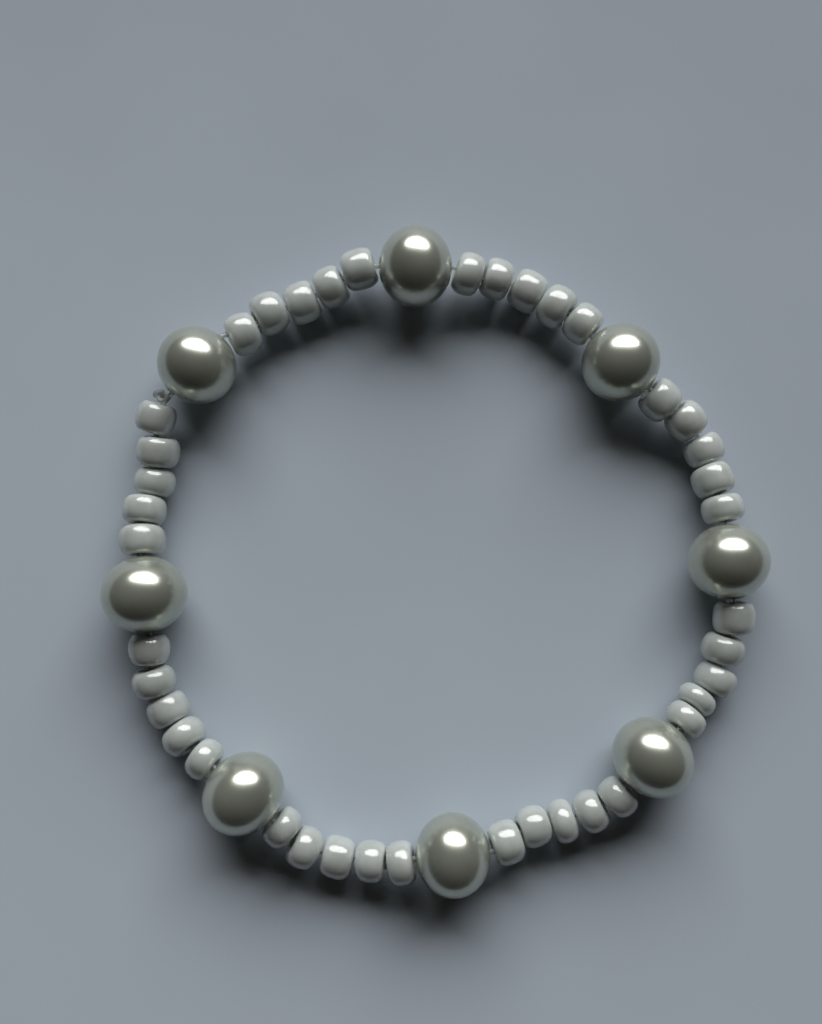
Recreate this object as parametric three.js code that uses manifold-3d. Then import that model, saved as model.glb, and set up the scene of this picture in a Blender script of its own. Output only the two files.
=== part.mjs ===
// A pearl bracelet lying flat: eight round imitation pearls, five short milky glass beads in each
// run between two pearls, and one clear elastic cord through them all, tied in a small knot.
// Millimetres, +Z up. The origin is on the surface it lies on, under the middle of its box.
import * as THREE from "three";
import { mergeVertices } from "three/addons/utils/BufferGeometryUtils.js";
import Module from "manifold-3d";

// Driving dimensions
const PEARL_ACROSS = 8.2; // across the bore
const PEARL_ALONG = 7.8; // along the bore
const PEARL_BORE = 1.7;
const GLASS_ACROSS = 4.3;
const GLASS_ALONG = 2.85;
const GLASS_BORE = 1.9;
const GLASS_SHOULDER = 1.0; // rounding between a bead's side and its ends
const CORD_ACROSS = 0.5;
const KNOT_ACROSS = 1.4;
const KNOT_ALONG = 0.8;
const BEAD_GAP = 0.12; // between one bead and the next on the string
const SHOULDER_LIMIT = 0.8; // a shoulder's largest share of the bead's half length and of its wall

// Smoothness
const PEARL_SIDES = 16;
const PEARL_RINGS = 10;
const GLASS_SIDES = 12;
const SHOULDER_STEPS = 2;
const CORD_SIDES = 8;
const CORD_STEPS = 144;
const KNOT_SIDES = 10;
const KNOT_RINGS = 6;

// How closely the beads are set on the string
const TILT = { first: 0.25, last: 0.004, shrink: 0.6 }; // tilts tried to find a pair's clearance
const LOOP = { least: 0.8, most: 1.3 }; // the loop's length, as shares of its beads' total length
const HALVINGS = 22;

// Where the pearls lie round the loop: degrees from +X, and reach as a share of the loop's radius.
const PEARL_ROUTE = [
  { angle: 94.3, reach: 1.045 },
  { angle: 45.5, reach: 0.945 },
  { angle: -1.2, reach: 0.99 },
  { angle: -42.4, reach: 0.96 },
  { angle: -86.9, reach: 0.96 },
  { angle: -128.6, reach: 1.0 },
  { angle: -172.7, reach: 1.0 },
  { angle: -218.5, reach: 1.085 },
];

// Each pearl's sizes as shares of the pearl dimensions above.
const PEARLS = [
  { across: 1.0, along: 0.97 },
  { across: 0.98, along: 1.0 },
  { across: 0.99, along: 0.99 },
  { across: 1.01, along: 0.98 },
  { across: 1.0, along: 0.97 },
  { across: 1.04, along: 0.99 },
  { across: 1.04, along: 1.0 },
  { across: 0.98, along: 1.0 },
];

// One row for the run after each pearl, one value for each of its five glass beads: length and
// width as shares of the glass dimensions, distance outside the pearls' curve as a share of the
// glass width, and the turn in degrees away from the curve's direction, seen from above.
const RUNS = [
  {
    along: [0.95, 1.0, 1.13, 1.05, 1.03],
    across: [1.02, 0.97, 1.0, 1.03, 0.98],
    aside: [0.07, 0.21, 0.27, 0.24, 0.21],
    turn: [-3, 2, -3, -4, -6],
  },
  {
    along: [1.08, 1.12, 1.0, 1.05, 0.92],
    across: [1.0, 0.98, 0.97, 1.0, 1.01],
    aside: [0.14, 0.38, 0.42, 0.26, 0.2],
    turn: [9, 7, -4, -4, -7],
  },
  {
    along: [1.12, 0.98, 0.96, 0.7, 0.82],
    across: [0.97, 1.02, 1.0, 0.94, 0.97],
    aside: [0.25, 0.22, 0.34, 0.14, 0.12],
    turn: [9, 4, -3, -9, -8],
  },
  {
    along: [0.89, 0.96, 0.85, 1.05, 1.04],
    across: [0.98, 1.0, 1.02, 0.96, 1.02],
    aside: [0.2, 0.17, 0.08, -0.1, 0.0],
    turn: [7, -2, -7, -4, 2],
  },
  {
    along: [0.9, 1.02, 1.09, 0.99, 0.85],
    across: [1.02, 0.97, 0.98, 1.0, 1.0],
    aside: [0.23, 0.32, 0.42, 0.42, 0.19],
    turn: [15, 8, 2, -7, -17],
  },
  {
    along: [0.88, 0.95, 0.98, 0.97, 1.05],
    across: [1.0, 1.04, 1.0, 1.03, 0.97],
    aside: [0.2, 0.32, 0.37, 0.38, 0.21],
    turn: [18, 6, 1, -6, -18],
  },
  {
    along: [1.02, 0.95, 0.94, 1.05, 1.06],
    across: [1.08, 1.03, 0.98, 1.02, 0.94],
    aside: [0.05, 0.07, -0.05, 0.0, 0.26],
    turn: [3, 0, 0, 6, 3],
  },
  {
    along: [1.06, 1.13, 1.12, 1.03, 1.15],
    across: [1.0, 1.02, 1.0, 0.98, 0.97],
    aside: [-0.12, 0.0, -0.1, -0.02, 0.16],
    turn: [-11, -4, -1, 6, 2],
  },
];
const KNOT_RUN = 6; // the knot lies after this run's last bead, counting runs from 0

// How a run hangs between two pearls, for each of its five beads: its lift as a share of the
// height from the surface up to the pearls' bores, its slope in degrees, and how far the cord
// rises in its bore, as a share of the room that the cord has there.
const HANG = [
  { lift: 0.52, slope: -7, rise: 0.2 },
  { lift: 0.2, slope: -9, rise: 0.0 },
  { lift: 0.0, slope: 0, rise: 0.0 },
  { lift: 0.2, slope: 9, rise: 0.0 },
  { lift: 0.52, slope: 7, rise: 0.2 },
];
const PEARL_SAG = 0.45; // how far the cord hangs in a pearl's mouth, as a share of its room there

const FINISHES = {
  pearl: new THREE.MeshStandardMaterial({ color: 0x86887a, roughness: 0.15, metalness: 0.4 }),
  glass: new THREE.MeshStandardMaterial({ color: 0xb9bab2, roughness: 0.2, metalness: 0.0 }),
  cord: new THREE.MeshStandardMaterial({ color: 0xc8ccc8, roughness: 0.3, metalness: 0.0 }),
};

const UP = new THREE.Vector3(0, 0, 1);
const wasm = await Module();
wasm.setup();

// How far a bead reaches from its centre in one direction.
function reachOf(bead, direction) {
  const along = Math.abs(direction.dot(bead.axis));
  const across = Math.sqrt(Math.max(0, 1 - along * along));
  if (bead.kind === "pearl") return Math.hypot(bead.radius * across, bead.half * along);
  return (bead.radius - bead.shoulder) * across + (bead.half - bead.shoulder) * along + bead.shoulder;
}

// The clear distance between two beads: the widest separation over the directions between them.
function clearance(a, b) {
  const between = b.centre.clone().sub(a.centre);
  const apart = (n) => n.dot(between) - reachOf(a, n) - reachOf(b, n);
  let best = between.clone().normalize();
  let most = apart(best);
  const aside = new THREE.Vector3().crossVectors(best, UP).normalize();
  for (let step = TILT.first; step > TILT.last; step *= TILT.shrink) {
    for (const nudge of [aside, UP]) {
      for (const sign of [-1, 1]) {
        const trial = best.clone().addScaledVector(nudge, sign * step).normalize();
        const gap = apart(trial);
        if (gap > most) {
          most = gap;
          best = trial;
        }
      }
    }
  }
  return most;
}

// The beads in their order on the string, with their own sizes but no place yet.
function beadsInOrder() {
  const beads = [];
  RUNS.forEach((run, k) => {
    beads.push({
      kind: "pearl",
      name: `pearl_${k + 1}`,
      radius: (PEARL_ACROSS * PEARLS[k].across) / 2,
      half: (PEARL_ALONG * PEARLS[k].along) / 2,
      bore: PEARL_BORE / 2,
      after: BEAD_GAP,
    });
    HANG.forEach((hang, i) => {
      const half = (GLASS_ALONG * run.along[i]) / 2;
      const radius = (GLASS_ACROSS * run.across[i]) / 2;
      const knotted = k === KNOT_RUN && i === HANG.length - 1;
      beads.push({
        kind: "glass",
        name: `glass_bead_${k + 1}_${i + 1}`,
        radius,
        half,
        bore: GLASS_BORE / 2,
        shoulder: Math.min(
          GLASS_SHOULDER,
          SHOULDER_LIMIT * half,
          SHOULDER_LIMIT * (radius - GLASS_BORE / 2),
        ),
        aside: GLASS_ACROSS * run.aside[i],
        turn: THREE.MathUtils.degToRad(run.turn[i]),
        slope: THREE.MathUtils.degToRad(hang.slope),
        lift: hang.lift,
        rise: (hang.rise * (GLASS_BORE - CORD_ACROSS)) / 2,
        after: knotted ? KNOT_ALONG + 2 * BEAD_GAP : BEAD_GAP,
      });
    });
  });
  return beads;
}

// The pearls' closed curve for a loop of radius 1.
const unitRoute = new THREE.CatmullRomCurve3(
  PEARL_ROUTE.map(({ angle, reach }) => {
    const a = THREE.MathUtils.degToRad(angle);
    return new THREE.Vector3(reach * Math.cos(a), reach * Math.sin(a), 0);
  }),
  true,
  "centripetal",
);
const unitLength = unitRoute.getLength();

// Puts one bead at a distance along the curve of a loop of the given radius.
function place(bead, radius, distance) {
  const share = (((distance / (radius * unitLength)) % 1) + 1) % 1;
  const ahead = unitRoute.getTangentAt(share).normalize();
  const outward = new THREE.Vector3().crossVectors(ahead, UP).negate();
  bead.centre = unitRoute.getPointAt(share).multiplyScalar(radius);
  bead.axis = ahead;
  if (bead.kind === "pearl") {
    bead.centre.z = bead.radius;
    return;
  }
  bead.centre.addScaledVector(outward, bead.aside);
  bead.axis.applyAxisAngle(UP, bead.turn);
  bead.axis.applyAxisAngle(outward.applyAxisAngle(UP, bead.turn), -bead.slope).normalize();
  const resting = reachOf(bead, UP);
  bead.centre.z = resting + bead.lift * (PEARL_ACROSS / 2 - resting);
}

// Threads the beads one after another, and gives the distance at which the first comes round again.
function thread(beads, radius) {
  let distance = 0;
  place(beads[0], radius, distance);
  const first = { ...beads[0] };
  for (let i = 1; i <= beads.length; i++) {
    const last = beads[i - 1];
    const next = i < beads.length ? beads[i] : first;
    let near = distance;
    let far = distance + 2 * (last.half + next.half) + last.after;
    for (let halving = 0; halving < HALVINGS; halving++) {
      const middle = (near + far) / 2;
      place(next, radius, middle);
      if (clearance(last, next) < last.after) near = middle;
      else far = middle;
    }
    distance = far;
  }
  return distance;
}

// The loop's radius at which the threaded beads just close it.
function closeLoop(beads) {
  const length = beads.reduce((sum, bead) => sum + 2 * bead.half + bead.after, 0);
  let small = (LOOP.least * length) / unitLength;
  let large = (LOOP.most * length) / unitLength;
  for (let halving = 0; halving < HALVINGS; halving++) {
    const middle = (small + large) / 2;
    if (thread(beads, middle) > middle * unitLength) small = middle;
    else large = middle;
  }
  thread(beads, large);
}

// Turns a bead's own Y axis onto the string, with one of its corners straight down.
function turnOnString(mesh, bead) {
  const down = UP.clone().negate();
  down.addScaledVector(bead.axis, -down.dot(bead.axis)).normalize();
  const side = new THREE.Vector3().crossVectors(bead.axis, down);
  mesh.quaternion.setFromRotationMatrix(new THREE.Matrix4().makeBasis(side, bead.axis, down));
  mesh.position.copy(bead.centre);
}

// A drilled pearl: an arc from one mouth of the bore to the other, closed along the bore's wall.
function pearlGeometry(bead) {
  const mouth = Math.asin(bead.bore / bead.radius);
  const profile = [];
  for (let i = 0; i <= PEARL_RINGS; i++) {
    const a = -Math.PI / 2 + mouth + ((Math.PI - 2 * mouth) * i) / PEARL_RINGS;
    profile.push(new THREE.Vector2(bead.radius * Math.cos(a), bead.half * Math.sin(a)));
  }
  profile.push(profile[0].clone());
  return new THREE.LatheGeometry(profile, PEARL_SIDES);
}

// A drilled glass bead: a short cylinder with rounded shoulders.
function glassGeometry(bead) {
  const profile = [new THREE.Vector2(bead.bore, -bead.half)];
  for (const end of [-1, 1]) {
    for (let i = 0; i <= SHOULDER_STEPS; i++) {
      const a = ((Math.PI / 2) * (end < 0 ? i - SHOULDER_STEPS : i)) / SHOULDER_STEPS;
      profile.push(
        new THREE.Vector2(
          bead.radius - bead.shoulder * (1 - Math.cos(a)),
          end * (bead.half - bead.shoulder) + bead.shoulder * Math.sin(a),
        ),
      );
    }
  }
  profile.push(new THREE.Vector2(bead.bore, bead.half), profile[0].clone());
  return new THREE.LatheGeometry(profile, GLASS_SIDES);
}

// A closed mesh as a solid that can be joined to another.
function solidOf(geometry) {
  geometry.deleteAttribute("normal");
  geometry.deleteAttribute("uv");
  const merged = mergeVertices(geometry, 1e-4);
  return new wasm.Manifold(
    new wasm.Mesh({
      numProp: 3,
      vertProperties: merged.attributes.position.array,
      triVerts: new Uint32Array(merged.index.array),
    }),
  );
}

// The cord from its knot once round through every bead and back, with the knot joined on.
function cordGeometry(beads) {
  const ahead = (KNOT_RUN + 1) * (HANG.length + 1);
  const order = [...beads.slice(ahead), ...beads.slice(0, ahead)];
  const before = order[order.length - 1];
  const fromBead = before.centre.clone().addScaledVector(before.axis, before.half);
  const toPearl = order[0].centre.clone().addScaledVector(order[0].axis, -order[0].half);
  const knot = fromBead.clone().lerp(toPearl, 0.5);
  const points = [knot];
  for (const bead of order) {
    if (bead.kind === "glass") {
      points.push(bead.centre.clone().addScaledVector(UP, bead.rise));
      continue;
    }
    const sag = (PEARL_SAG * (PEARL_BORE - CORD_ACROSS)) / 2;
    for (const side of [-1, 1]) {
      const mouth = bead.centre.clone().addScaledVector(bead.axis, side * bead.half);
      points.push(mouth.addScaledVector(UP, -sag));
    }
  }
  points.push(knot);
  const section = new THREE.Shape();
  section.absarc(0, 0, CORD_ACROSS / 2, 0, 2 * Math.PI, false);
  const cord = new THREE.ExtrudeGeometry(section, {
    steps: CORD_STEPS,
    curveSegments: CORD_SIDES / 2,
    extrudePath: new THREE.CatmullRomCurve3(points, false, "centripetal"),
  });
  const lump = new THREE.SphereGeometry(0.5, KNOT_SIDES, KNOT_RINGS);
  lump.scale(KNOT_ACROSS, KNOT_ALONG, KNOT_ACROSS);
  lump.applyQuaternion(
    new THREE.Quaternion().setFromUnitVectors(
      new THREE.Vector3(0, 1, 0),
      toPearl.clone().sub(fromBead).normalize(),
    ),
  );
  lump.translate(knot.x, knot.y, knot.z);
  const joined = solidOf(cord).add(solidOf(lump)).getMesh();
  const geometry = new THREE.BufferGeometry();
  geometry.setAttribute("position", new THREE.BufferAttribute(joined.vertProperties, 3));
  geometry.setIndex(new THREE.BufferAttribute(joined.triVerts, 1));
  geometry.computeVertexNormals();
  return geometry;
}

// Moves the threaded beads so that the origin is under the middle of their box.
function centre(beads) {
  const box = new THREE.Box3();
  for (const bead of beads) {
    const reach = new THREE.Vector3(
      reachOf(bead, new THREE.Vector3(1, 0, 0)),
      reachOf(bead, new THREE.Vector3(0, 1, 0)),
      0,
    );
    box.expandByPoint(bead.centre.clone().add(reach));
    box.expandByPoint(bead.centre.clone().sub(reach));
  }
  const middle = box.getCenter(new THREE.Vector3()).setZ(0);
  for (const bead of beads) bead.centre.sub(middle);
}

function makeBracelet() {
  const bracelet = new THREE.Group();
  const beads = beadsInOrder();
  closeLoop(beads);
  centre(beads);
  for (const bead of beads) {
    const geometry = bead.kind === "pearl" ? pearlGeometry(bead) : glassGeometry(bead);
    const mesh = new THREE.Mesh(geometry, FINISHES[bead.kind]);
    mesh.name = bead.name;
    turnOnString(mesh, bead);
    bracelet.add(mesh);
  }
  const cord = new THREE.Mesh(cordGeometry(beads), FINISHES.cord);
  cord.name = "elastic_cord";
  bracelet.add(cord);
  return bracelet;
}

export default makeBracelet();
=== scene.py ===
import logging
import math
import random
from dataclasses import dataclass, field
from enum import Enum
from typing import Any

import bmesh
import bpy
import numpy as np
from mathutils import Matrix, Vector


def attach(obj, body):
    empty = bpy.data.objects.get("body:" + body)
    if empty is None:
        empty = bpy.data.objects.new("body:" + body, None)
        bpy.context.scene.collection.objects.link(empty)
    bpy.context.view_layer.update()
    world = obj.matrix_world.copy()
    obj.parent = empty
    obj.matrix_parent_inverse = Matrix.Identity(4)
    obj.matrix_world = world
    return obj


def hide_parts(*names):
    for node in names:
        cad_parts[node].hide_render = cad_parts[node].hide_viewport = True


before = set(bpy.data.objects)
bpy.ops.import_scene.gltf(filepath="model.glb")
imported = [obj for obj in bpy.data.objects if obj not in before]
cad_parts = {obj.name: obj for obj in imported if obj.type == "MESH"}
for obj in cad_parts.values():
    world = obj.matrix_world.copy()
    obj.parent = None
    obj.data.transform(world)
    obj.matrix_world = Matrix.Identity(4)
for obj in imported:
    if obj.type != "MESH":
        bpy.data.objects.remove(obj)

MM = 0.001
SHADE_STOP = 0.3
BASE_STOP = 0.7
LOG = logging.getLogger("bracelet")
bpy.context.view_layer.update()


class Kind(Enum):
    """The kinds of bead on the string."""

    PEARL = "pearl"
    GLASS = "glass_bead"


@dataclass(frozen=True)
class Wired:
    """A socket of a node tree, so that maths on values reads as an expression."""

    tree: bpy.types.NodeTree
    socket: bpy.types.NodeSocket

    def _maths(self, operation: str, *values: Any) -> "Wired":
        """Adds one Math node.

        Args:
            operation: The Math node's operation.
            values: Its inputs in order, each a Wired value or a number.

        Returns:
            The node's result.
        """
        inputs = dict(enumerate(values))
        return Bench(self.tree).node("ShaderNodeMath", {"operation": operation}, inputs)

    def __add__(self, other: Any) -> "Wired":
        """The sum."""
        return self._maths("ADD", self, other)

    def __radd__(self, other: Any) -> "Wired":
        """The sum, from the right."""
        return self._maths("ADD", other, self)

    def __sub__(self, other: Any) -> "Wired":
        """The difference."""
        return self._maths("SUBTRACT", self, other)

    def __rsub__(self, other: Any) -> "Wired":
        """The difference, from the right."""
        return self._maths("SUBTRACT", other, self)

    def __mul__(self, other: Any) -> "Wired":
        """The product."""
        return self._maths("MULTIPLY", self, other)

    def __rmul__(self, other: Any) -> "Wired":
        """The product, from the right."""
        return self._maths("MULTIPLY", other, self)

    def __truediv__(self, other: Any) -> "Wired":
        """The quotient."""
        return self._maths("DIVIDE", self, other)

    def __rtruediv__(self, other: Any) -> "Wired":
        """The quotient, from the right."""
        return self._maths("DIVIDE", other, self)

    def __pow__(self, other: Any) -> "Wired":
        """The power."""
        return self._maths("POWER", self, other)

    def __rpow__(self, other: Any) -> "Wired":
        """The power, from the right."""
        return self._maths("POWER", other, self)

    def cos(self) -> "Wired":
        """The cosine."""
        return self._maths("COSINE", self)

    def sin(self) -> "Wired":
        """The sine."""
        return self._maths("SINE", self)

    def arcsine(self) -> "Wired":
        """The angle that has the value as its sine."""
        return self._maths("ARCSINE", self)

    def size(self) -> "Wired":
        """The value without its sign."""
        return self._maths("ABSOLUTE", self)

    def sign(self) -> "Wired":
        """1 above zero and -1 below."""
        return self._maths("SIGN", self)

    def over(self, limit: float) -> "Wired":
        """1 where the value is greater than the limit, and 0 elsewhere."""
        return self._maths("GREATER_THAN", self, limit)


@dataclass(frozen=True)
class Bench:
    """Adds nodes to one tree."""

    tree: bpy.types.NodeTree

    def add(self, kind: str, settings: dict[str, Any], inputs: dict[Any, Any]) -> bpy.types.Node:
        """Adds a node.

        Args:
            kind: The node's type name.
            settings: Its properties, set before its sockets. A ramp's stops go under "stops".
            inputs: Socket name or number to a Wired value or a plain value.

        Returns:
            The node.
        """
        made = self.tree.nodes.new(kind)
        for name, value in settings.items():
            if name == "stops":
                self._stops(made.color_ramp, value)
            else:
                setattr(made, name, value)
        for name, value in inputs.items():
            if isinstance(value, Wired):
                self.tree.links.new(value.socket, made.inputs[name])
            else:
                made.inputs[name].default_value = value
        return made

    def node(self, kind: str, settings: dict[str, Any], inputs: dict[Any, Any], out: Any = 0) -> Wired:
        """Adds a node and takes one of its outputs.

        Args:
            kind: The node's type name.
            settings: Its properties, as add takes them.
            inputs: Its sockets, as add takes them.
            out: The name or number of the output wanted.

        Returns:
            That output.
        """
        return Wired(self.tree, self.add(kind, settings, inputs).outputs[out])

    @staticmethod
    def _stops(ramp: bpy.types.ColorRamp, stops: list[tuple[float, Any]]) -> None:
        """Gives a colour ramp its stops.

        Args:
            ramp: The ramp.
            stops: Pairs of place and colour, in order.
        """
        while len(ramp.elements) < len(stops):
            ramp.elements.new(0.5)
        for element, (place, colour) in zip(ramp.elements, stops):
            element.position = place
            element.color = (*colour, 1.0)


@dataclass(frozen=True)
class Finish:
    """A finish that every material of the bracelet is made from."""

    name: str
    base: tuple[float, float, float]
    shade: tuple[float, float, float]
    roughness: float
    metallic: float = 0.0
    coat: float = 0.0
    coat_roughness: float = 0.05
    coat_ior: float = 1.5
    subsurface: float = 0.0
    transmission: float = 0.0
    cloud: float = 300.0
    grain: float = 4000.0
    grain_depth: float = 0.1
    bump: float = 0.1
    uneven: float = 0.05
    cloud_depth: float = 1.0
    # painted light: how fast the colour slopes from base to shade along X and along Y
    painted_light_slope: tuple[float, float] = (0.0, 0.0)
    dent_depth: float = 0.05 * MM
    glow_reach: float = 0.8 * MM
    glow_tint: tuple[float, float, float] = (1.0, 1.0, 0.9)

    def material(self) -> bpy.types.Material:
        """Makes the material: slow clouds of shade in the colour, and a fine grain in the gloss.

        A slope along X and along Y turns the colour from base to shade, or back: painted light and shade,
        darker towards one side.

        Returns:
            The material.
        """
        made = bpy.data.materials.new(self.name)
        made.use_nodes = True
        bench = Bench(made.node_tree)
        shader = made.node_tree.nodes["Principled BSDF"]
        place = bench.node("ShaderNodeTexCoord", {}, {}, "Object")
        cloud = bench.node("ShaderNodeTexNoise", {}, {"Vector": place, "Scale": self.cloud, "Detail": 3.0})
        grain = bench.node("ShaderNodeTexNoise", {}, {"Vector": place, "Scale": self.grain, "Detail": 2.0})
        across = bench.node("ShaderNodeSeparateXYZ", {}, {"Vector": place}, "X")
        up = bench.node("ShaderNodeSeparateXYZ", {}, {"Vector": place}, "Y")
        # the ramp's place: random clouds of tone, plus painted light and shade sloping along X and Y
        tone_and_painted_light = (cloud - 0.5) * self.cloud_depth + across * self.painted_light_slope[0] + up * self.painted_light_slope[1] + 0.5
        colour = bench.node(
            "ShaderNodeValToRGB",
            {"stops": [(SHADE_STOP, self.shade), (BASE_STOP, self.base)]},
            {"Fac": tone_and_painted_light},
        )
        rough = self.roughness + (grain - 0.5) * self.uneven + (cloud - 0.5) * self.uneven
        dent = bench.node(
            "ShaderNodeBump",
            {},
            {
                "Strength": self.bump,
                "Distance": self.dent_depth,
                "Height": cloud + grain * self.grain_depth,
            },
        )
        links = made.node_tree.links
        links.new(colour.socket, shader.inputs["Base Color"])
        links.new(rough.socket, shader.inputs["Roughness"])
        links.new(dent.socket, shader.inputs["Normal"])
        shader.inputs["Metallic"].default_value = self.metallic
        shader.inputs["Coat Weight"].default_value = self.coat
        shader.inputs["Coat Roughness"].default_value = self.coat_roughness
        shader.inputs["Coat IOR"].default_value = self.coat_ior
        shader.inputs["Subsurface Weight"].default_value = self.subsurface
        shader.inputs["Subsurface Radius"].default_value = self.glow_tint
        shader.inputs["Subsurface Scale"].default_value = self.glow_reach
        shader.inputs["Transmission Weight"].default_value = self.transmission
        return made


PEARL_FINISH = Finish(
    "pearl_lacquer",
    base=(0.56, 0.59, 0.51),
    shade=(0.48, 0.51, 0.43),
    roughness=0.26,
    metallic=0.65,
    coat=0.6,
    coat_roughness=0.06,
    coat_ior=1.7,
    cloud=260.0,
    grain_depth=0.0,
    bump=0.04,
    uneven=0.03,
)
GLASS_FINISH = Finish(
    "milky_glass",
    base=(0.59, 0.63, 0.61),
    shade=(0.49, 0.525, 0.5),
    roughness=0.32,
    coat=1.0,
    coat_roughness=0.08,
    coat_ior=1.8,
    subsurface=1.0,
    cloud=420.0,
    grain_depth=0.02,
    bump=0.2,
    uneven=0.1,
)
CORD_FINISH = Finish(
    "clear_cord",
    base=(0.86, 0.88, 0.86),
    shade=(0.76, 0.79, 0.77),
    roughness=0.2,
    transmission=0.7,
    cloud=900.0,
)
PAPER_FINISH = Finish(
    "pale_paper",
    base=(0.56, 0.635, 0.72),
    shade=(0.414, 0.47, 0.533),
    roughness=0.85,
    cloud=25.0,
    cloud_depth=0.25,
    # painted shade: the paper's colour slopes to its shade colour towards +X and +Y and to its base colour
    # towards -X and -Y, as if unevenly lit
    painted_light_slope=(-1.1, -2.8),
    grain=1800.0,
    bump=0.15,
    uneven=0.05,
)


@dataclass(frozen=True)
class Seat:
    """Where a bead sits on the string, measured from the solid that it stands for."""

    centre: Vector
    axis: Vector
    radius: float
    half: float
    bore: float

    @staticmethod
    def of(node: str) -> "Seat":
        """Measures a node.

        Args:
            node: The bead's name.

        Returns:
            Its seat: the odd one of its three spreads lies along the bore.
        """
        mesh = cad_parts[node].data
        raw = np.zeros(3 * len(mesh.vertices), np.float32)
        mesh.vertices.foreach_get("co", raw)
        points = np.unique(np.round(raw.reshape(-1, 3).astype(float), 6), axis=0)
        middle = points.mean(axis=0)
        spread, ways = np.linalg.eigh(np.cov((points - middle).T))
        odd = 0 if spread[1] - spread[0] > spread[2] - spread[1] else 2
        axis = ways[:, odd]
        along = (points - middle) @ axis
        across = np.linalg.norm(points - middle - np.outer(along, axis), axis=1)
        return Seat(
            Vector(middle),
            Vector(axis),
            float(across.max()),
            float(np.abs(along).max()),
            float(across.min()),
        )

    def matrix(self) -> Matrix:
        """Takes the bead's own frame, bore along Z, to its place on the string."""
        turned = self.axis.to_track_quat("Z", "Y").to_matrix().to_4x4()
        return Matrix.Translation(self.centre) @ turned


def begin_tree(name: str, inputs: dict[str, str]) -> tuple[Bench, dict[str, Wired]]:
    """Starts a Geometry Nodes tree.

    Args:
        name: The tree's name.
        inputs: Its inputs beside the geometry, each name with its socket's type.

    Returns:
        A bench for the tree, and the tree's inputs by name.
    """
    tree = bpy.data.node_groups.new(name, "GeometryNodeTree")
    face = tree.interface
    face.new_socket(name="Geometry", in_out="INPUT", socket_type="NodeSocketGeometry")
    for title, kind in inputs.items():
        face.new_socket(name=title, in_out="INPUT", socket_type=kind)
    face.new_socket(name="Geometry", in_out="OUTPUT", socket_type="NodeSocketGeometry")
    bench = Bench(tree)
    entry = bench.add("NodeGroupInput", {}, {})
    return bench, {given.name: Wired(tree, given) for given in entry.outputs if given.name}


def end_tree(bench: Bench, geometry: Wired, material: Wired) -> None:
    """Ends a Geometry Nodes tree in one smooth, dressed mesh.

    Args:
        bench: The tree's bench.
        geometry: What the tree has made.
        material: The material that it gets.
    """
    smooth = bench.node("GeometryNodeSetShadeSmooth", {}, {"Geometry": geometry, "Shade Smooth": True})
    solid = bench.node("GeometryNodeRealizeInstances", {}, {"Geometry": smooth})
    dressed = bench.node("GeometryNodeSetMaterial", {}, {"Geometry": solid, "Material": material})
    bench.add("NodeGroupOutput", {}, {0: dressed})


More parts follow.
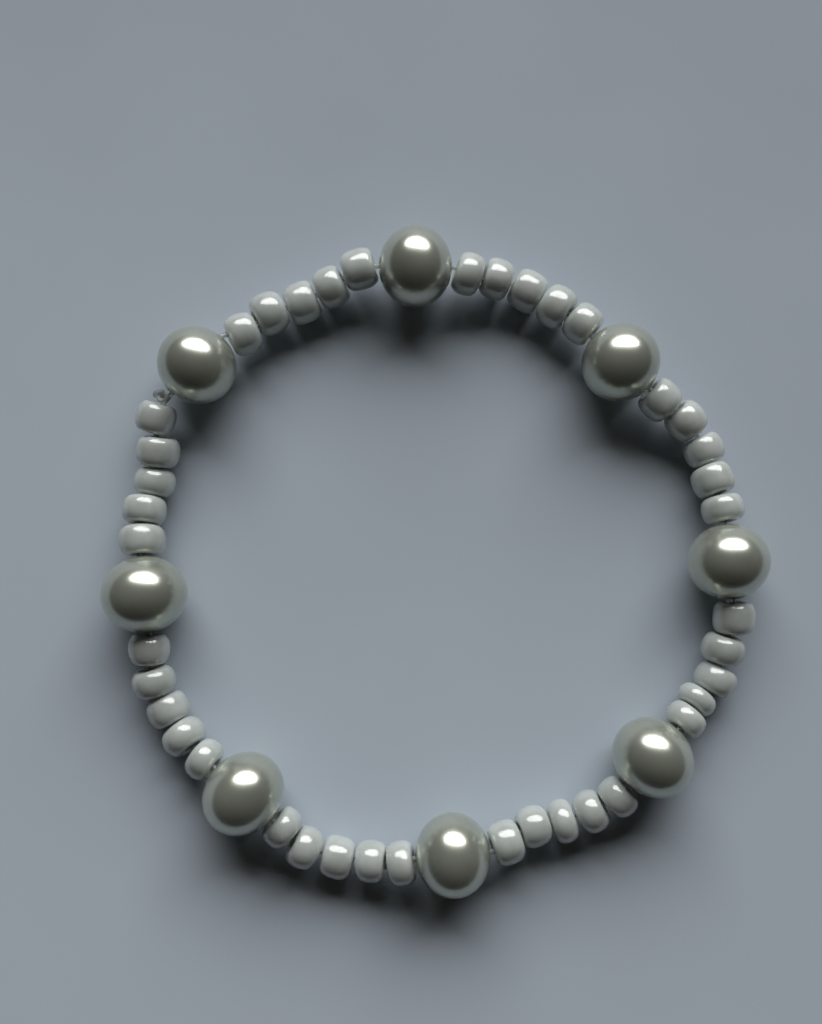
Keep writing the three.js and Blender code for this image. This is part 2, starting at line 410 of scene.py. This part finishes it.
@dataclass
class BeadLathe:
    """Turns beads by Geometry Nodes: a flat grid is rolled round the bore along a closed profile."""

    kind: Kind
    around: int = 64
    along: int = 101
    bore_share: float = 0.06
    bore_shown: float = 0.42
    mouth_margin: float = 0.001
    lump_scale: float = 350.0
    weld: float = 0.001 * MM
    tree: bpy.types.NodeTree = field(init=False)

    def __post_init__(self) -> None:
        """Builds the node tree once for all beads of the kind."""
        numbers = ("Radius", "Half", "Bore", "Squareness", "Lumps", "Seed")
        inputs = {name: "NodeSocketFloat" for name in numbers}
        inputs["Material"] = "NodeSocketMaterial"
        bench, given = begin_tree(f"turned_{self.kind.value}", inputs)
        self.tree = bench.tree
        self._wire(bench, given)

    def _profile(self, share: Wired, given: dict[str, Wired]) -> tuple[Wired, Wired]:
        """The closed profile as distance from the bore's axis and height along it.

        A glass bead's is a rounded square. A pearl's is an arc from mouth to mouth, and then the
        bore's wall back.

        Args:
            share: 0 to 1 once round the profile.
            given: The tree's inputs by name.

        Returns:
            The distance and the height.
        """
        radius, half, bore = given["Radius"], given["Half"], given["Bore"]
        if self.kind is Kind.GLASS:
            turn = share * (2 * math.pi)
            cos, sin = turn.cos(), turn.sin()
            power = 2 / given["Squareness"]
            out = (radius + bore) / 2 + (radius - bore) / 2 * cos.sign() * cos.size() ** power
            return out, half * sin.sign() * sin.size() ** power
        mouth = (bore / radius).arcsine()
        inside = share.over(1 - self.bore_share + self.mouth_margin)
        swing = share / (1 - self.bore_share)
        angle = mouth - math.pi / 2 + (math.pi - 2 * mouth) * swing
        back = (share - (1 - self.bore_share)) / self.bore_share
        out = radius * angle.cos() * (1 - inside) + bore * inside
        height = half * angle.sin() * (1 - inside) + half * mouth.cos() * (1 - 2 * back) * inside
        return out, height

    def _wire(self, bench: Bench, given: dict[str, Wired]) -> None:
        """Wires the tree from the grid to the finished bead.

        Args:
            bench: The tree's bench.
            given: The tree's inputs by name.
        """
        grid = bench.node(
            "GeometryNodeMeshGrid",
            {},
            {"Size X": 1.0, "Size Y": 1.0, "Vertices X": self.around + 1, "Vertices Y": self.along},
        )
        flat = bench.node("GeometryNodeInputPosition", {}, {})
        turn = (bench.node("ShaderNodeSeparateXYZ", {}, {"Vector": flat}, "X") + 0.5) * (2 * math.pi)
        share = bench.node("ShaderNodeSeparateXYZ", {}, {"Vector": flat}, "Y") + 0.5
        out, height = self._profile(share, given)
        plain = bench.node(
            "ShaderNodeCombineXYZ",
            {},
            {"X": out * turn.cos(), "Y": out * turn.sin(), "Z": height},
        )
        lumps = bench.node(
            "ShaderNodeTexNoise",
            {"noise_dimensions": "4D"},
            {"Vector": plain, "W": given["Seed"], "Scale": self.lump_scale, "Detail": 1.0},
        )
        swell = 1 + (lumps - 0.5) * given["Lumps"]
        rolled = bench.node(
            "ShaderNodeCombineXYZ",
            {},
            {
                "X": out * swell * turn.cos(),
                "Y": out * swell * turn.sin(),
                "Z": height * swell,
            },
        )
        placed = bench.node("GeometryNodeSetPosition", {}, {"Geometry": grid, "Position": rolled})
        closed = bench.node(
            "GeometryNodeMergeByDistance",
            {},
            {"Geometry": placed, "Distance": self.weld},
        )
        end_tree(bench, closed, given["Material"])

    def turn(
        self,
        name: str,
        seat: Seat,
        seed: float,
        shape: dict[str, float],
        material: bpy.types.Material,
    ) -> bpy.types.Object:
        """Turns one bead and puts it on the string.

        Args:
            name: The piece's name.
            seat: Its place and sizes.
            seed: Which of the possible lumps it gets.
            shape: How square its section is and how uneven it is, by the tree's names.
            material: Its material.

        Returns:
            The finished piece.
        """
        values = {
            "Radius": seat.radius,
            "Half": seat.half,
            "Bore": seat.bore * self.bore_shown,
            "Seed": seed,
            **shape,
            "Material": material,
        }
        blank = bpy.data.meshes.new(name)
        return baked(name, blank, self.tree, values, seat.matrix())


def baked(
    name: str,
    mesh: bpy.types.Mesh,
    tree: bpy.types.NodeTree,
    values: dict[str, Any],
    place: Matrix,
) -> bpy.types.Object:
    """Runs a Geometry Nodes tree on a mesh and keeps the result as a plain mesh.

    Args:
        name: The piece's name.
        mesh: What the tree starts from.
        tree: The tree.
        values: Its inputs by name.
        place: Where the result goes.

    Returns:
        An object at the origin, with its place in its mesh.
    """
    raw = bpy.data.objects.new(f"{name}_raw", mesh)
    bpy.context.scene.collection.objects.link(raw)
    modifier = raw.modifiers.new("made", "NODES")
    modifier.node_group = tree
    for item in tree.interface.items_tree:
        if item.in_out == "INPUT" and item.name in values:
            modifier[item.identifier] = values[item.name]
    raw.update_tag()
    graph = bpy.context.evaluated_depsgraph_get()
    made = bpy.data.meshes.new_from_object(raw.evaluated_get(graph))
    bpy.data.objects.remove(raw)
    made.transform(place)
    face_out(made)
    made.name = name
    piece = bpy.data.objects.new(name, made)
    bpy.context.scene.collection.objects.link(piece)
    return piece


def face_out(mesh: bpy.types.Mesh) -> None:
    """Turns a closed mesh's faces outwards.

    Args:
        mesh: The mesh.
    """
    work = bmesh.new()
    work.from_mesh(mesh)
    if work.calc_volume(signed=True) < 0:
        bmesh.ops.reverse_faces(work, faces=work.faces)
    work.to_mesh(mesh)
    work.free()


@dataclass
class Beads:
    """The pearls and the glass beads, in their order on the string."""

    pearls: int = 8
    run: int = 5
    pearl_lumps: float = 0.006
    glass_lumps: float = 0.08
    squareness: tuple[float, float] = (1.95, 2.4)
    seed: int = 5
    seed_step: float = 1.7
    order: list[str] = field(default_factory=list)
    seats: dict[str, Seat] = field(default_factory=dict)

    def build(self) -> None:
        """Makes every bead where its solid is."""
        chance = random.Random(self.seed)
        lathes = {kind: BeadLathe(kind) for kind in Kind}
        finishes = {Kind.PEARL: PEARL_FINISH.material(), Kind.GLASS: GLASS_FINISH.material()}
        for pearl in range(1, self.pearls + 1):
            shape = {"Lumps": self.pearl_lumps}
            self._bead(Kind.PEARL, f"pearl_{pearl}", shape, lathes, finishes)
            for place in range(1, self.run + 1):
                shape = {"Lumps": self.glass_lumps, "Squareness": chance.uniform(*self.squareness)}
                self._bead(Kind.GLASS, f"glass_bead_{pearl}_{place}", shape, lathes, finishes)

    def _bead(
        self,
        kind: Kind,
        node: str,
        shape: dict[str, float],
        lathes: dict[Kind, BeadLathe],
        finishes: dict[Kind, bpy.types.Material],
    ) -> None:
        """Makes one bead and fits it in its solid's place.

        Args:
            kind: Pearl or glass.
            node: The solid's name.
            shape: How square and how uneven the bead is.
            lathes: The lathe of each kind.
            finishes: The material of each kind.
        """
        seat = Seat.of(node)
        seed = self.seed_step * len(self.order)
        piece = lathes[kind].turn(f"{node}_turned", seat, seed, shape, finishes[kind])
        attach(piece, "root")
        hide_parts(node)
        self.order.append(node)
        self.seats[node] = seat
        LOG.info("%s: %.2f mm across, %.2f mm long", node, 2 * seat.radius / MM, 2 * seat.half / MM)


@dataclass
class Cord:
    """The clear elastic cord, drawn through every bead and tied before the last pearl."""

    beads: Beads
    knot_after: str = "glass_bead_7_5"
    across: float = 0.5 * MM
    knot_tube: float = 0.42 * MM
    knot_size: float = 0.22 * MM
    knot_aside: float = 0.95 * MM
    knot_points: int = 48
    knot_depth: float = 1.6
    sides: int = 12
    steps: int = 6

    def _through(self) -> list[Vector]:
        """The points the cord passes, in order round the loop.

        Returns:
            Both mouths of each pearl and the middle of each glass bead.
        """
        points = []
        count = len(self.beads.order)
        for i, node in enumerate(self.beads.order):
            seat = self.beads.seats[node]
            ahead = self.beads.seats[self.beads.order[(i + 1) % count]].centre - seat.centre
            axis = seat.axis if seat.axis.dot(ahead) > 0 else -seat.axis
            if node.startswith(Kind.PEARL.value):
                points += [seat.centre - axis * seat.half, seat.centre + axis * seat.half]
            else:
                points.append(seat.centre)
        return points

    def _smooth(self, points: list[Vector]) -> list[Vector]:
        """A smooth closed curve through the points.

        Args:
            points: The points in order.

        Returns:
            The curve, with some steps from each point to the next.
        """
        curve = []
        count = len(points)
        for i, point in enumerate(points):
            before, after, beyond = points[i - 1], points[(i + 1) % count], points[(i + 2) % count]
            span = (after - point).length
            leave = (after - before).normalized() * span
            arrive = (beyond - point).normalized() * span
            for step in range(self.steps):
                t = step / self.steps
                curve.append(
                    point * (2 * t**3 - 3 * t**2 + 1)
                    + leave * (t**3 - 2 * t**2 + t)
                    + after * (3 * t**2 - 2 * t**3)
                    + arrive * (t**3 - t**2)
                )
        return curve

    def _knot(self) -> list[Vector]:
        """A small trefoil of cord between the last glass bead and the pearl.

        Returns:
            Its points, closed.
        """
        last = self.beads.seats[self.knot_after]
        pearl = self.beads.seats[self.beads.order[self.beads.order.index(self.knot_after) + 1]]
        way = (pearl.centre - last.centre).normalized()
        middle = (last.centre + way * last.half + pearl.centre - way * pearl.half) / 2
        middle += Vector((middle.x, middle.y, 0)).normalized() * self.knot_aside
        turned = way.to_track_quat("Z", "Y").to_matrix()
        points = []
        for i in range(self.knot_points):
            t = 2 * math.pi * i / self.knot_points
            bend = Vector(
                (
                    math.sin(t) + 2 * math.sin(2 * t),
                    math.cos(t) - 2 * math.cos(2 * t),
                    -self.knot_depth * math.sin(3 * t),
                )
            )
            points.append(middle + turned @ (bend * self.knot_size))
        return points

    def _tree(self) -> bpy.types.NodeTree:
        """A tree that gives a line of edges a round section.

        Returns:
            The tree.
        """
        inputs = {
            "Thickness": "NodeSocketFloat",
            "Sides": "NodeSocketInt",
            "Material": "NodeSocketMaterial",
        }
        bench, given = begin_tree("drawn_cord", inputs)
        line = bench.node("GeometryNodeMeshToCurve", {}, {"Mesh": given["Geometry"]})
        ring = bench.node(
            "GeometryNodeCurvePrimitiveCircle",
            {"mode": "RADIUS"},
            {"Resolution": given["Sides"], "Radius": given["Thickness"] / 2},
        )
        tube = bench.node("GeometryNodeCurveToMesh", {}, {"Curve": line, "Profile Curve": ring})
        end_tree(bench, tube, given["Material"])
        return bench.tree

    def build(self) -> None:
        """Makes the cord and its knot, which take the place of the cord's solid together."""
        tree = self._tree()
        material = CORD_FINISH.material()
        parts = {
            "elastic_cord_drawn": (self._smooth(self._through()), self.across),
            "elastic_cord_knot": (self._knot(), self.knot_tube),
        }
        for name, (points, thickness) in parts.items():
            line = bpy.data.meshes.new(name)
            count = len(points)
            line.from_pydata(points, [(i, (i + 1) % count) for i in range(count)], [])
            values = {"Thickness": thickness, "Sides": self.sides, "Material": material}
            piece = baked(name, line, tree, values, Matrix.Identity(4))
            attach(piece, "root")
            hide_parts("elastic_cord")
            LOG.info("%s: %d points", name, count)


@dataclass
class Studio:
    """The pale paper floor, the soft light and the camera."""

    focal: float = 42.0
    distance: float = 119 * MM
    tilt: float = math.radians(3.0)
    target: tuple[float, float, float] = (-2.47 * MM, 4.49 * MM, 4 * MM)
    light_height: float = math.radians(33.0)
    light_turn: float = math.radians(-6.0)
    light_away: float = 2.0
    light_size: tuple[float, float] = (2.7, 1.4)
    light_power: float = 47.0
    room: tuple[float, float, float] = (0.013, 0.0115, 0.008)
    floor_reach: float = 2.0
    nearest: float = 5 * MM

    def build(self) -> None:
        """Sets all of it up."""
        self._floor()
        self._light()
        self._camera()
        bpy.context.scene.view_settings.view_transform = "Standard"

    def _floor(self) -> None:
        """Lays the paper just under the beads."""
        mesh = bpy.data.meshes.new("paper_floor")
        reach = self.floor_reach
        corners = [(-reach, -reach, 0), (reach, -reach, 0), (reach, reach, 0), (-reach, reach, 0)]
        mesh.from_pydata(corners, [], [(0, 1, 2, 3)])
        mesh.materials.append(PAPER_FINISH.material())
        floor = bpy.data.objects.new("paper_floor", mesh)
        bpy.context.scene.collection.objects.link(floor)

    def _light(self) -> None:
        """Hangs one broad light beyond the first pearl, and dims the rest of the room."""
        lamp = bpy.data.lights.new("broad_light", "AREA")
        lamp.shape = "ELLIPSE"
        lamp.size, lamp.size_y = self.light_size
        lamp.energy = self.light_power
        away = Vector((0, math.cos(self.light_height), math.sin(self.light_height)))
        away.rotate(Matrix.Rotation(self.light_turn, 3, "Z"))
        light = bpy.data.objects.new("broad_light", lamp)
        turned = away.to_track_quat("Z", "Y").to_matrix().to_4x4()
        light.matrix_world = Matrix.Translation(away * self.light_away) @ turned
        bpy.context.scene.collection.objects.link(light)
        world = bpy.data.worlds.new("dim_room")
        world.use_nodes = True
        world.node_tree.nodes["Background"].inputs["Color"].default_value = (*self.room, 1.0)
        bpy.context.scene.world = world

    def _camera(self) -> None:
        """Looks down on the loop, a little from its near side."""
        lens = bpy.data.cameras.new("camera")
        lens.lens = self.focal
        lens.clip_start = self.nearest
        camera = bpy.data.objects.new("camera", lens)
        back = Vector((0, -math.sin(self.tilt), math.cos(self.tilt)))
        camera.location = Vector(self.target) + back * self.distance
        camera.rotation_euler = (self.tilt, 0, 0)
        bpy.context.scene.collection.objects.link(camera)
        bpy.context.scene.camera = camera


def main() -> None:
    """Builds the whole scene in order."""
    logging.basicConfig(level=logging.INFO)
    Studio().build()
    beads = Beads()
    beads.build()
    Cord(beads).build()


if __name__ == "__main__":
    main()
